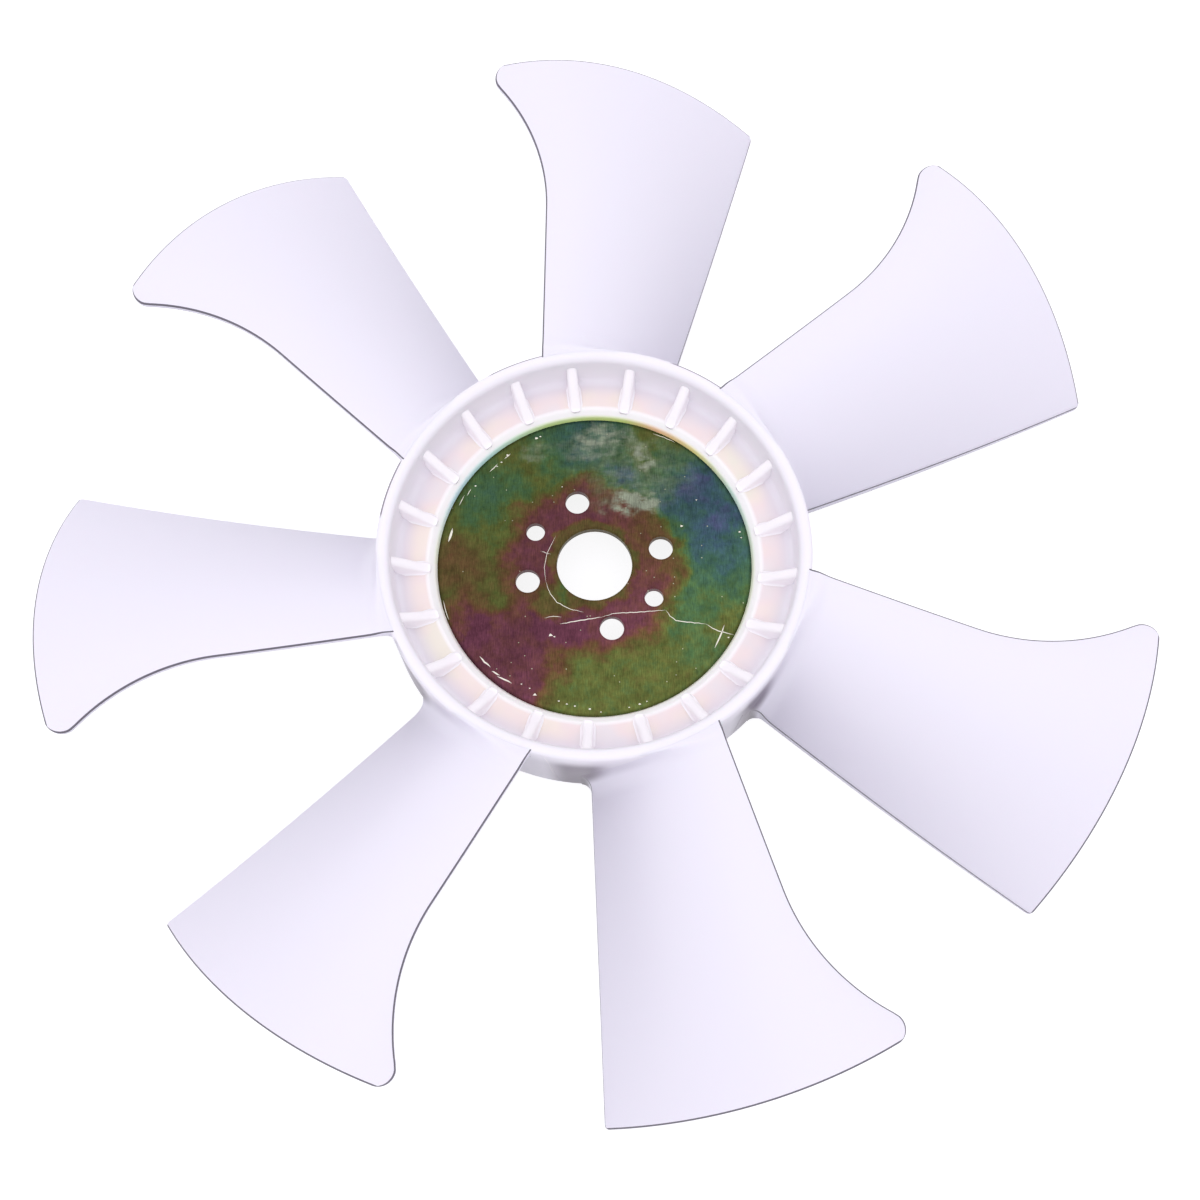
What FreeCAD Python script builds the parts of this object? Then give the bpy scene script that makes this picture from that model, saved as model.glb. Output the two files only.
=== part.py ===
import FreeCAD, Part
import math
import os

# Axial cooling fan impeller.
# One nylon moulding holds the blades, the hub ring and its gussets, and it is moulded
# around the rim of a flat steel disc that bolts to the driving hub.
# Lengths are in millimetres. +Z runs along the shaft towards the front of the fan.
# The origin is the centre of the pilot bore on the back face of the disc.

# Steel mounting disc
plate_thickness = 3.0
disc_radius = 68.0
bore_radius = 14.0
bolt_circle_radius = 25.5
bolt_count = 4
bolt_hole_radius = 4.5
bolt_start_angle = 14.6
locator_count = 2
locator_hole_radius = 3.5
locator_start_angle = 149.5
notch_count = 7
notch_width = 6.0
notch_depth = 4.0

# Hub ring, with a ring of pockets on each side of the disc
hub_radius = 78.8
rim_width = 4.9
wall_draft = 0.9
front_depth = 19.5
back_depth = 16.5
cover_thickness = 4.0
window_radius = 58.2
lip_width = 2.1
rim_chamfer = 1.2

# Gussets that stand in both rings of pockets
gusset_count = 21
gusset_thickness = 3.8
gusset_toe_radius = 61.8
gusset_drop = 5.2
gusset_start_angle = 10.9

# Blades, unevenly spaced so that the fan runs without a pure tone.
# Each angle is that of the blade's trailing tip, counted from +X towards +Y.
blade_angles = (20.0, 71.3, 120.7, 171.0, 220.7, 271.1, 320.4)
tip_radius = 200.0
trailing_root_offset = 2.8
trailing_tip_offset = 0.2
leading_root_offset = 47.0
leading_slant = 17.8
leading_straight = 48.0
hook_radius = 74.0
hook_corner_rounding = 5.5
root_chamfer = 3.5

# Blade sections at three radii: the root, the middle and the tip.
# Heights are counted from the front face of the disc.
middle_radius = 140.0
trailing_angles = (-2.0, -0.6, 0.0)
leading_angles = (33.2, 26.2, 31.4)
trailing_heights = (-16.4, -18.1, -12.3)
chord_rises = (34.2, 38.8, 38.8)
camber_heights = (8.0, 11.0, 14.2)
blade_thicknesses = (3.4, 3.0, 2.6)
sheet_overrun = 6.0
sheet_rows = 9
sheet_columns = 9
rim_flare = 20.0

# Heights and radii that follow from the sizes above
front_rim = plate_thickness + front_depth
back_rim = -back_depth
front_floor = plate_thickness + cover_thickness
back_floor = -cover_thickness
wall_radius = hub_radius - rim_width
barrel_radius = hub_radius - rim_width / 2
beyond = 2 * (front_depth + back_depth + max(chord_rises) + max(camber_heights))


def unit(vector):
    """Copy of a vector, one millimetre long."""
    return FreeCAD.Vector(vector).normalize()


def polar(radius, degrees, height=0.0):
    """Point at a radius and an angle about the shaft."""
    angle = math.radians(degrees)
    return FreeCAD.Vector(radius * math.cos(angle), radius * math.sin(angle), height)


def turned(shape, degrees):
    """Copy of a shape turned about the shaft."""
    copy = shape.copy()
    copy.rotate(FreeCAD.Vector(0, 0, 0), FreeCAD.Vector(0, 0, 1), degrees)
    return copy


def line(start, end):
    """Straight edge."""
    return Part.LineSegment(start, end).toShape()


def arc(centre, start, end):
    """Edge of a circle about a centre, the shorter way from start to end."""
    radius = (start - centre).Length
    middle = centre + unit(start + end - centre * 2) * radius
    return Part.Arc(start, middle, end).toShape()


def on_circle(point, ahead, radius):
    """Point where the line from a point along a direction leaves a circle about the shaft."""
    nearest = point - ahead * point.dot(ahead)
    return nearest + ahead * math.sqrt(radius ** 2 - nearest.Length ** 2)


def revolved(corners, sweep=360):
    """Solid turned about the shaft from (radius, height, chamfer) corners.

    A chamfer cuts its corner off by the same length along both of its sides.
    """
    points = [FreeCAD.Vector(r, 0, z) for r, z, chamfer in corners]
    count = len(points)
    outline = []
    for index, point in enumerate(points):
        chamfer = corners[index][2]
        if chamfer > 0:
            outline.append(point + unit(points[index - 1] - point) * chamfer)
            outline.append(point + unit(points[(index + 1) % count] - point) * chamfer)
        else:
            outline.append(point)
    face = Part.Face(Part.makePolygon(outline + outline[:1]))
    return face.revolve(FreeCAD.Vector(0, 0, 0), FreeCAD.Vector(0, 0, 1), sweep)


def through_holes(count, radius, circle_radius, start_angle):
    """Cylinders that cut a ring of holes through the disc."""
    holes = []
    for index in range(count):
        foot = polar(circle_radius, start_angle + index * 360 / count, -plate_thickness)
        holes.append(Part.makeCylinder(radius, 3 * plate_thickness, foot))
    return holes


def make_disc():
    """Flat stamped disc: pilot bore, bolt holes, locating holes and a notched rim.

    A seam on each face parts the open seat for the driving hub from the buried rim.
    """
    seat = Part.makeCylinder(window_radius, plate_thickness)
    rim = Part.makeCylinder(disc_radius, plate_thickness).cut(seat)
    cuts = through_holes(1, bore_radius, 0, 0)
    cuts += through_holes(bolt_count, bolt_hole_radius, bolt_circle_radius, bolt_start_angle)
    cuts += through_holes(locator_count, locator_hole_radius, bolt_circle_radius, locator_start_angle)
    # The nylon fills the notches of the rim, each under the floor of a pocket.
    corner = FreeCAD.Vector(disc_radius - notch_depth, -notch_width / 2, -plate_thickness)
    notch = Part.makeBox(2 * notch_depth, notch_width, 3 * plate_thickness, corner)
    first_pocket = gusset_start_angle + 180 / gusset_count
    for index in range(notch_count):
        cuts.append(turned(notch, first_pocket + index * 360 / notch_count))
    return seat.fuse(rim).cut(cuts)


def make_hub():
    """Ring wall and the web that grips the disc's rim, turned in one profile."""
    lip_radius = window_radius + lip_width
    foot_radius = wall_radius - wall_draft
    return revolved([
        (window_radius, plate_thickness, 0),
        (lip_radius, front_floor, 0),
        (foot_radius, front_floor, 0),
        (wall_radius, front_rim, rim_chamfer),
        (hub_radius, front_rim, rim_chamfer),
        (hub_radius, back_rim, rim_chamfer),
        (wall_radius, back_rim, rim_chamfer),
        (foot_radius, back_floor, 0),
        (lip_radius, back_floor, 0),
        (window_radius, 0, 0),
    ])


def make_gusset(floor, rim, side):
    """Sloping rib from the pocket floor up to the ring wall, standing on +X.

    side is 1 in the front pockets and -1 in the back ones.
    """
    top = rim - side * gusset_drop
    buried = floor - side * cover_thickness / 4
    heel_radius = wall_radius + rim_width / 4
    outline = [
        (gusset_toe_radius, floor),
        (wall_radius - wall_draft / 2, top),
        (heel_radius, top),
        (heel_radius, buried),
        (gusset_toe_radius, buried),
    ]
    points = [FreeCAD.Vector(r, -gusset_thickness / 2, z) for r, z in outline]
    face = Part.Face(Part.makePolygon(points + points[:1]))
    return face.extrude(FreeCAD.Vector(0, gusset_thickness, 0))


def at_radius(values, radius):
    """Value at a radius, on the parabola through its root, middle and tip values."""
    radii = (hub_radius, middle_radius, tip_radius)
    total = 0
    for index, value in enumerate(values):
        share = value
        for other in range(3):
            if other != index:
                share *= (radius - radii[other]) / (radii[index] - radii[other])
        total += share
    return total


def blade_sheet(side):
    """Front (side 1) or back (side -1) surface of the blade, past its outline all round.

    Each section is a parabola over its chord, from the low trailing edge to the high
    leading edge. Half the thickness is laid off square to the section.
    """
    inner = barrel_radius - sheet_overrun
    outer = tip_radius + sheet_overrun
    rows = []
    for row in range(sheet_rows):
        radius = inner + (outer - inner) * row / (sheet_rows - 1)
        trailing = at_radius(trailing_angles, radius)
        sweep = at_radius(leading_angles, radius) - trailing
        chord = radius * math.radians(sweep)
        foot = plate_thickness + at_radius(trailing_heights, radius)
        rise = at_radius(chord_rises, radius)
        camber = at_radius(camber_heights, radius)
        half = at_radius(blade_thicknesses, radius) / 2
        margin = sheet_overrun / chord
        points = []
        for column in range(sheet_columns):
            share = -margin + (1 + 2 * margin) * column / (sheet_columns - 1)
            height = foot + rise * share + 4 * camber * share * (1 - share)
            slope = (rise + 4 * camber * (1 - 2 * share)) / chord
            lift = side * half * math.hypot(1, slope)
            points.append(polar(radius, trailing + sweep * share, height + lift))
        rows.append(points)
    surface = Part.BSplineSurface()
    surface.interpolate(rows)
    return surface.toShape()


def blade_slab():
    """Solid between the back and front surfaces, closed all round by ruled faces."""
    back, front = blade_sheet(-1), blade_sheet(1)
    faces = [back, front]
    for low, high in zip(back.OuterWire.OrderedEdges, front.OuterWire.OrderedEdges):
        faces.append(Part.makeRuledSurface(low, high))
    return Part.Solid(Part.makeShell(faces))


def blade_outline():
    """Face of the blade seen along the shaft, with its trailing tip on +X.

    The trailing edge is straight. The leading edge is straight and then bends forward in
    an arc to a hooked tip, whose corner is rounded. The tip runs on the swept circle.
    """
    inner_radius = barrel_radius - sheet_overrun / 2
    trail_root = FreeCAD.Vector(hub_radius, -trailing_root_offset, 0)
    trail_ahead = unit(FreeCAD.Vector(tip_radius, -trailing_tip_offset, 0) - trail_root)
    trail_tip = on_circle(trail_root, trail_ahead, tip_radius)
    trail_inside = on_circle(trail_root, trail_ahead, inner_radius)
    lead_root = FreeCAD.Vector(hub_radius, leading_root_offset, 0)
    lead_ahead = polar(1, leading_slant)
    lead_inside = on_circle(lead_root, lead_ahead, inner_radius)
    bend = lead_root + lead_ahead * leading_straight
    hook_centre = bend + polar(hook_radius, leading_slant + 90)

    # The corner's centre is a rounding radius inside the tip circle, and a rounding
    # radius outside the hook arc, so its arc touches both.
    from_shaft = tip_radius - hook_corner_rounding
    from_hook = hook_radius + hook_corner_rounding
    gap = hook_centre.Length
    base = (gap ** 2 + from_shaft ** 2 - from_hook ** 2) / (2 * gap)
    aside = math.sqrt(from_shaft ** 2 - base ** 2)
    axis = unit(hook_centre)
    corner = axis * base + FreeCAD.Vector(axis.y, -axis.x, 0) * aside
    corner_tip = unit(corner) * tip_radius
    corner_hook = corner + unit(hook_centre - corner) * hook_corner_rounding
    shaft = FreeCAD.Vector(0, 0, 0)
    edges = [
        line(trail_inside, trail_tip),
        arc(shaft, trail_tip, corner_tip),
        arc(corner, corner_tip, corner_hook),
        arc(hook_centre, corner_hook, bend),
        line(bend, lead_inside),
        arc(shaft, lead_inside, trail_inside),
    ]
    return Part.Face(Part.Wire(edges))


def is_root_edge(edge):
    """True for an edge where the blade meets the barrel, and not for the barrel's own."""
    middle = edge.valueAt((edge.FirstParameter + edge.LastParameter) / 2)
    on_barrel = abs(math.hypot(middle.x, middle.y) - hub_radius) < hub_radius / 10000
    return on_barrel and middle.x > 0 and abs(middle.z) < beyond / 2


def make_blade():
    """One blade with its root chamfers and a strip of the ring wall, trailing tip on +X."""
    outline = blade_outline()
    outline.translate(FreeCAD.Vector(0, 0, -beyond))
    prism = outline.extrude(FreeCAD.Vector(0, 0, 2 * beyond))
    blade = prism.common(blade_slab())
    barrel = turned(Part.makeCylinder(hub_radius, 2 * beyond, FreeCAD.Vector(0, 0, -beyond)), 180)
    joined = blade.fuse(barrel)
    joined = joined.makeChamfer(root_chamfer, [edge for edge in joined.Edges if is_root_edge(edge)])

    # What is kept starts in the ring wall and widens outwards from its two rims.
    flare = (tip_radius - hub_radius) * math.tan(math.radians(rim_flare))
    outer = tip_radius + sheet_overrun
    margin = 2 * math.degrees(root_chamfer / hub_radius)
    first = trailing_angles[0] - margin
    last = leading_angles[0] + margin
    keep = revolved([
        (barrel_radius, back_rim + rim_chamfer, 0),
        (hub_radius, back_rim + rim_chamfer, 0),
        (outer, back_rim - flare, 0),
        (outer, front_rim + flare, 0),
        (hub_radius, front_rim - rim_chamfer, 0),
        (barrel_radius, front_rim - rim_chamfer, 0),
    ], last - first)
    return joined.common(turned(keep, first))


def make_impeller(disc):
    """The whole moulding, with the space that the disc fills cut out of it."""
    gussets = []
    for index in range(gusset_count):
        angle = gusset_start_angle + index * 360 / gusset_count
        gussets.append(turned(make_gusset(front_floor, front_rim, 1), angle))
        gussets.append(turned(make_gusset(back_floor, back_rim, -1), angle))
    blade = make_blade()
    blades = [turned(blade, angle) for angle in blade_angles]
    hub = make_hub().fuse(gussets).cut(disc.copy())
    return hub.fuse(blades).removeSplitter()


def main():
    os.makedirs("parts", exist_ok=True)
    disc = make_disc()
    nodes = {"mounting_disc": disc, "impeller": make_impeller(disc)}
    for name, shape in nodes.items():
        shape.exportStep("parts/" + name + ".step")
        print(name, "solids", len(shape.Solids), "valid", shape.isValid(), "volume", round(shape.Volume))


main()
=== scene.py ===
import math

import bpy
import numpy as np
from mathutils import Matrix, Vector

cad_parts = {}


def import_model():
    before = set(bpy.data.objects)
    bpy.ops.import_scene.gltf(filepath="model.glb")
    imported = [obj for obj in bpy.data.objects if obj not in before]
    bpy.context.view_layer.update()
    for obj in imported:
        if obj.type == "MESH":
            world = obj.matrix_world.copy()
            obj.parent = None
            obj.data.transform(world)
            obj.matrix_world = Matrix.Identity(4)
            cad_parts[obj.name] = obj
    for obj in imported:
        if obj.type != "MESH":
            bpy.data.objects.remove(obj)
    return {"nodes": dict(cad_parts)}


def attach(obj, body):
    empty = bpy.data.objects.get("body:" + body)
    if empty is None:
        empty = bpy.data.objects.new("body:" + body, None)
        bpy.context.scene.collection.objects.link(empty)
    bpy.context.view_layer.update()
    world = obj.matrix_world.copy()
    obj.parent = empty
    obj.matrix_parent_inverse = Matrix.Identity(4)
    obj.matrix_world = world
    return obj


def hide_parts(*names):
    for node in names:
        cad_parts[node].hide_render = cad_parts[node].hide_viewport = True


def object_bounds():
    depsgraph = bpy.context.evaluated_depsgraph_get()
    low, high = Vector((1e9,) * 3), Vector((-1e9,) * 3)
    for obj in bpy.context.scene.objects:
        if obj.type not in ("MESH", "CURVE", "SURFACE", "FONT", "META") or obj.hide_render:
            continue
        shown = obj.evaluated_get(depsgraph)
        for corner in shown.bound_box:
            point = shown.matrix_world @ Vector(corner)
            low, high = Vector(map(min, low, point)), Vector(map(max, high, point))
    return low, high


# Axial cooling fan impeller, seen from the front and a little from below.
# One natural nylon moulding holds the blades, the hub ring and its gussets. It grips
# a flat steel disc, zinc plated and yellow passivated.
# Lengths are in millimetres and become metres when a mesh is made.

METRES = 0.001

# Hub ring and the web that grips the disc
plate_thickness = 3.0
hub_radius = 78.8
rim_width = 4.9
wall_draft = 0.9
front_rim = 22.5
back_rim = -16.5
front_floor = 7.0
back_floor = -4.0
window_radius = 58.2
lip_width = 2.1
lip_slope = 0.9
lip_rounding = 1.8
lip_step_width = 0.7
lip_step_height = 1.5
lip_step_rounding = 1.0
rim_rounding = 1.5
rim_inner_rounding = 3.1
foot_rounding = 3.4
wall_radius = hub_radius - rim_width
foot_radius = wall_radius - wall_draft
lip_radius = window_radius + lip_width

# Gussets in the front and back pockets
gusset_count = 21
gusset_start_angle = 10.9
gusset_half_width = 1.9
gusset_toe_radius = 61.2
gusset_drop = 5.2
gusset_draft = 0.2
gusset_rounding = 1.5
gusset_nose = 2.4
gusset_nose_share = 0.4
gusset_fillet = 0.7
gusset_lead = 0.9
gusset_buried = 1.5
gusset_sunk = 1.0
gusset_height_share = 0.45
gusset_width_share = 0.8

# Blades: where each trailing tip stands, and the outline seen along the shaft
blade_angles = (20.0, 71.3, 120.7, 171.0, 220.7, 271.1, 320.4)
tip_radius = 200.0
trailing_root_offset = 2.8
trailing_tip_offset = 0.2
leading_root_offset = 47.0
leading_slant = 17.8
leading_straight = 48.0
hook_radius = 74.0
hook_corner_rounding = 5.5
trailing_corner_rounding = 1.6

# Angle of the middle of one gap between two blades, at the hub
gap_angle = 60.0

# Blade sections at the root, the middle and the tip, heights from the disc's front face
section_radii = (78.8, 140.0, 200.0)
trailing_angles = (-2.0, -0.6, 0.0)
leading_angles = (33.2, 26.2, 31.4)
trailing_heights = (-16.4, -18.1, -12.3)
chord_rises = (34.2, 38.8, 38.8)
camber_heights = (8.0, 11.0, 14.2)
blade_thicknesses = (3.4, 3.0, 2.6)
edge_rounding = 0.8
root_fillet = 8.0
back_root_fillet = 4.0
trailing_fillet = 3.5
root_buried = 2.0
buried_run = 0.25
buried_slope = 12.0
rim_flare = 20.0
rim_margin = 0.05
front_blend = 1.0
back_blend = 0.35
tip_zone = 7.0
edge_points = 6

# Holes of the disc
bore_radius = 14.0
bolt_circle_radius = 25.5
bolt_hole_radius = 4.5
bolt_angles = (14.6, 104.6, 194.6, 284.6)
locator_hole_radius = 3.5
locator_angles = (149.5, 329.5)
hole_edge_width = 0.5
hole_edge_rounding = 0.3
hole_edge_depth = 0.4
hole_mouth_depth = 1.0

# Marks on the disc: how far they stand over its face and reach under it
mark_height = 0.03
mark_foot = 0.05
flash_to_mark_height = 4.0


def linear(code):
    """Linear colour of an sRGB hex code, opaque."""
    levels = [int(code[i:i + 2], 16) / 255 for i in (1, 3, 5)]
    return [v / 12.92 if v <= 0.04045 else ((v + 0.055) / 1.055) ** 2.4 for v in levels] + [1.0]


def add(tree, kind, inputs=None, **settings):
    """Node of a kind, with its settings, and its inputs linked or set by name or index."""
    made = tree.nodes.new(kind)
    for key, value in settings.items():
        setattr(made, key, value)
    for key, value in (inputs or {}).items():
        if isinstance(value, bpy.types.NodeSocket):
            tree.links.new(value, made.inputs[key])
        else:
            made.inputs[key].default_value = value
    return made


def ramp_stops(ramp, stops):
    """Colour stops of a ramp, from (position, hex code) pairs."""
    elements = ramp.color_ramp.elements
    while len(elements) < len(stops):
        elements.new(0.5)
    for element, (position, code) in zip(elements, stops):
        element.position = position
        element.color = linear(code)


def new_material(name):
    """Material with an empty tree and its output node."""
    material = bpy.data.materials.new(name)
    material.use_nodes = True
    tree = material.node_tree
    tree.nodes.clear()
    return material, tree, add(tree, "ShaderNodeOutputMaterial")


def polar_coordinates(tree):
    """Object coordinates in millimetres: the point, its radius, height and angle."""
    place = add(tree, "ShaderNodeTexCoord").outputs["Object"]
    point = add(tree, "ShaderNodeVectorMath", {0: place, "Scale": 1 / METRES},
                operation="SCALE").outputs[0]
    split = add(tree, "ShaderNodeSeparateXYZ", {0: point})
    flat = add(tree, "ShaderNodeCombineXYZ", {"X": split.outputs["X"],
                                              "Y": split.outputs["Y"]}).outputs[0]
    radius = add(tree, "ShaderNodeVectorMath", {0: flat}, operation="LENGTH").outputs["Value"]
    angle = add(tree, "ShaderNodeMath", {0: split.outputs["Y"], 1: split.outputs["X"]},
                operation="ARCTAN2").outputs[0]
    return point, flat, radius, split.outputs["Z"], angle


# Tint of the lip round the disc, from its left side anticlockwise: a painted reflection of the
# # film's colours on the thin edge of the nylon, and painted light glowing through it, palest on the left
# side
LIP_PAINTED_REFLECTION_AND_LIGHT = [
    (0.00, "#FFFFF0"), (0.05, "#FFFAF2"), (0.14, "#FCF1EF"), (0.26, "#FDF8F0"), (0.38, "#FAF7E8"),
    (0.49, "#EEF6DA"), (0.58, "#D0EEE0"), (0.635, "#EFE896"), (0.685, "#F8C498"), (0.72, "#CFE184"),
    (0.80, "#C8E296"), (0.865, "#C6ECE4"), (0.93, "#CDECF2"), (0.98, "#F6FCE4"),
]

# Tint of the pocket floors over the buried rim of the disc, straw to rose
FLOOR_TINTS = [(0.33, "#EEE7DB"), (0.43, "#F2E5DD"), (0.57, "#F0E0E0"), (0.70, "#E9E1E4")]


def zone(tree, *limits):
    """Product of several ramps, such as the share of a zone with soft sides.

    Each ramp is given as its value, where it starts and ends, what it gives at both, and
    how it runs between them.
    """
    share = 1.0
    for value, start, end, first, last, run in limits:
        ramp = add(tree, "ShaderNodeMapRange", {0: value, 1: start, 2: end, 3: first, 4: last},
                   interpolation_type=run)
        share = add(tree, "ShaderNodeMath", {0: ramp.outputs[0], 1: share},
                    operation="MULTIPLY").outputs[0]
    return share


def painted_shade_share(tree, flat, radius, height, angle, on_ring):
    """Share of the painted shade, a dark colour on the outer wall between the lower blades.

    It clears towards the front rim and 2 mm out along the blades. The ring has a thin
    painted shade line as well, on the rounding of its upper outer edge, in the gaps only.
    """
    # Angle in degrees from the middle of the nearest gap between two blades
    turned_by = add(tree, "ShaderNodeMath", {0: angle, 1: math.degrees(1), 2: -gap_angle},
                    operation="MULTIPLY_ADD")
    aside = add(tree, "ShaderNodeMath", {0: turned_by.outputs[0], 1: 180 / len(blade_angles)},
                operation="PINGPONG").outputs[0]
    down = add(tree, "ShaderNodeVectorMath", {0: flat, 1: (0.0, -1.0, 0.0)}, operation="DOT_PRODUCT")
    # Painted shade on the outer wall: darker on the lower side, in the gaps and away from the front rim
    painted_shade_amount = zone(tree,
                (radius, hub_radius - 1.2, hub_radius - 0.2, 0.0, 1.0, "LINEAR"),
                (radius, hub_radius + 2.2, hub_radius, 0.0, 1.0, "SMOOTHSTEP"),
                (height, 21.0, 9.0, 0.0, 1.0, "SMOOTHSTEP"),
                (aside, 2.5, 9.5, 1.0, 0.22, "SMOOTHSTEP"),
                (down.outputs["Value"], 15.0, 50.0, 0.0, 1.0, "SMOOTHSTEP"))
    if not on_ring:
        return painted_shade_amount
    # Painted shade: a thin dark line on the rounding of the ring's upper outer edge, on the upper side
    # only
    up = add(tree, "ShaderNodeVectorMath", {0: flat, 1: (-0.5, 0.87, 0.0)}, operation="DOT_PRODUCT")
    line = zone(tree,
                (radius, hub_radius - 0.9, hub_radius - 0.6, 0.0, 1.0, "LINEAR"),
                (height, front_rim - 1.8, front_rim - 1.3, 0.0, 1.0, "LINEAR"),
                (aside, 7.5, 9.0, 1.0, 0.0, "LINEAR"),
                (up.outputs["Value"], -5.0, 20.0, 0.0, 1.0, "LINEAR"))
    return add(tree, "ShaderNodeMath", {0: painted_shade_amount, 1: line}, operation="MAXIMUM").outputs[0]


def tinted_over_steel(tree, body, point, radius, angle):
    """Nylon's colour with the tints of the pocket floors and the lip over the steel."""
    # Floor of the pockets, greyer towards the wall as painted shade in the crease at its foot, and tinted
    # over the rim of the disc
    cloud = add(tree, "ShaderNodeTexNoise", {"Vector": point, "Scale": 0.05, "Detail": 2.0,
                                             "Roughness": 0.5})
    tint = add(tree, "ShaderNodeValToRGB", {0: cloud.outputs["Fac"]})
    ramp_stops(tint, FLOOR_TINTS)
    over_rim = add(tree, "ShaderNodeMapRange", {0: radius, 1: 73.0, 2: 65.0},
                   interpolation_type="SMOOTHSTEP")
    shaded = add(tree, "ShaderNodeMix", {0: over_rim.outputs[0], 6: linear("#E3DDE6"),
                                         7: tint.outputs[0]}, data_type="RGBA")
    on_floor = zone(tree,
                    (radius, 74.0, 69.5, 0.0, 1.0, "SMOOTHSTEP"),
                    (radius, lip_radius + 0.3, lip_radius + 2.3, 0.0, 1.0, "LINEAR"))
    floor = add(tree, "ShaderNodeMix", {0: on_floor, 6: body, 7: shaded.outputs[2]},
                data_type="RGBA")

    # Lip: a painted reflection of the film's colours at its foot, and painted light, clear white at its
    # top
    turn = add(tree, "ShaderNodeMath", {0: angle, 1: 1 / (2 * math.pi), 2: 0.5},
               operation="MULTIPLY_ADD")
    fringe = add(tree, "ShaderNodeValToRGB", {0: turn.outputs[0]})
    ramp_stops(fringe, LIP_PAINTED_REFLECTION_AND_LIGHT)
    foot = add(tree, "ShaderNodeMapRange", {0: radius, 1: window_radius + 1.6, 2: window_radius + 0.2},
               interpolation_type="SMOOTHSTEP")
    edge = add(tree, "ShaderNodeMix", {0: foot.outputs[0], 6: linear("#FFFDFC"),
                                       7: fringe.outputs[0]}, data_type="RGBA")
    at_lip = add(tree, "ShaderNodeMapRange", {0: radius, 1: lip_radius + 2.3, 2: lip_radius + 0.3})
    return add(tree, "ShaderNodeMix", {0: at_lip.outputs[0], 6: floor.outputs[2],
                                       7: edge.outputs[2]}, data_type="RGBA").outputs[2]


def natural_nylon(name, over_steel, code, bleed, spread):
    """Natural nylon 6, injection moulded: milky white, a little translucent, satin gloss.

    Where it is thin over the steel disc, the yellow passivated rim buried in it tints the
    pocket floors rose and straw. Painted shade darkens the wall between the lower blades,
    and the ring's pocket floors towards the wall; the ring's lip has a painted reflection
    of the film and painted light.
    bleed is how far light spreads under the surface, in mm, and spread the share of it.
    """
    material, tree, output = new_material(name)
    point, flat, radius, height, angle = polar_coordinates(tree)
    # Painted shade: the dark grey-violet below darkens the outer wall between the lower blades and the
    # blade roots beside it
    painted_shade_amount = painted_shade_share(tree, flat, radius, height, angle, over_steel)
    body = add(tree, "ShaderNodeMix", {0: painted_shade_amount, 6: linear(code), 7: linear("#7C7281")},
               data_type="RGBA").outputs[2]
    if over_steel:
        body = tinted_over_steel(tree, body, point, radius, angle)

    # Fine unevenness of a moulded face, about 6 mm across and a hair deep
    wave = add(tree, "ShaderNodeTexNoise", {"Vector": point, "Scale": 0.16, "Detail": 3.0,
                                            "Roughness": 0.5})
    satin = add(tree, "ShaderNodeMapRange", {0: wave.outputs["Fac"], 3: 0.30, 4: 0.42})
    bump = add(tree, "ShaderNodeBump", {"Height": wave.outputs["Fac"], "Strength": 0.05,
                                        "Distance": 0.0004})
    shader = add(tree, "ShaderNodeBsdfPrincipled", {
        "Base Color": body,
        "Roughness": satin.outputs[0],
        "IOR": 1.53,
        "Subsurface Weight": spread,
        "Subsurface Radius": (1.0, 0.8, 0.9),
        "Subsurface Scale": bleed * METRES,
        "Normal": bump.outputs[0],
    })
    tree.links.new(shader.outputs[0], output.inputs["Surface"])
    return material


# Colours of the passivation film from thin to thick, from maroon round to slate violet
FILM_COLOURS = [
    (0.00, "#5B3342"), (0.13, "#5D3936"), (0.24, "#5A422D"), (0.36, "#534A2B"),
    (0.47, "#50572D"), (0.58, "#415A39"), (0.70, "#365245"), (0.82, "#364C58"), (0.96, "#3F4460"),
]

# Patches where the film is thicker (+) or thinner (-): the middle's x and y, how far the
# patch is full and where it has faded out, in mm, and its amount
FILM_PATCHES = (
    (0.0, 0.0, 26.0, 38.0, -0.40),
    (38.0, 20.0, 8.0, 38.0, 0.30),
    (38.0, 31.0, 2.0, 11.0, 0.16),
    (47.0, 16.0, 2.0, 10.0, 0.16),
    (11.0, 36.0, 1.0, 10.0, 0.30),
    (-4.0, 52.0, 4.0, 26.0, 0.24),
    (-39.0, 29.0, 4.0, 20.0, 0.15),
    (-34.0, -38.0, 13.0, 27.0, -0.42),
    (-46.0, -20.0, 3.0, 13.0, -0.30),
    (-50.0, 0.0, 3.0, 19.0, -0.18),
    (-12.0, -27.0, 4.0, 13.0, -0.15),
    (42.0, -33.0, 2.0, 14.0, 0.08),
    (34.0, -16.0, 4.0, 15.0, 0.12),
    (-17.0, -13.0, 4.0, 11.0, 0.30),
    (0.0, 0.0, 14.2, 18.0, 0.26),
    (54.0, -3.0, 4.0, 16.0, 0.13),
    (3.0, 28.0, 2.0, 8.0, 0.12),
    (14.0, -29.0, 3.0, 10.0, -0.05),
    (28.0, 14.0, 3.0, 9.0, -0.06),
)

# Hazy rub marks on the film: the middle's x and y, half length and half height in mm, strength
RUB_MARKS = (
    (15.0, 25.5, 14.0, 7.0, 2.2),
    (20.0, 45.0, 7.0, 8.0, 1.0),
    (-22.0, 47.0, 9.0, 5.0, 0.4),
    (4.0, 49.0, 22.0, 6.0, 0.9),
    (15.0, 36.0, 30.0, 20.0, 0.35),
)


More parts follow.
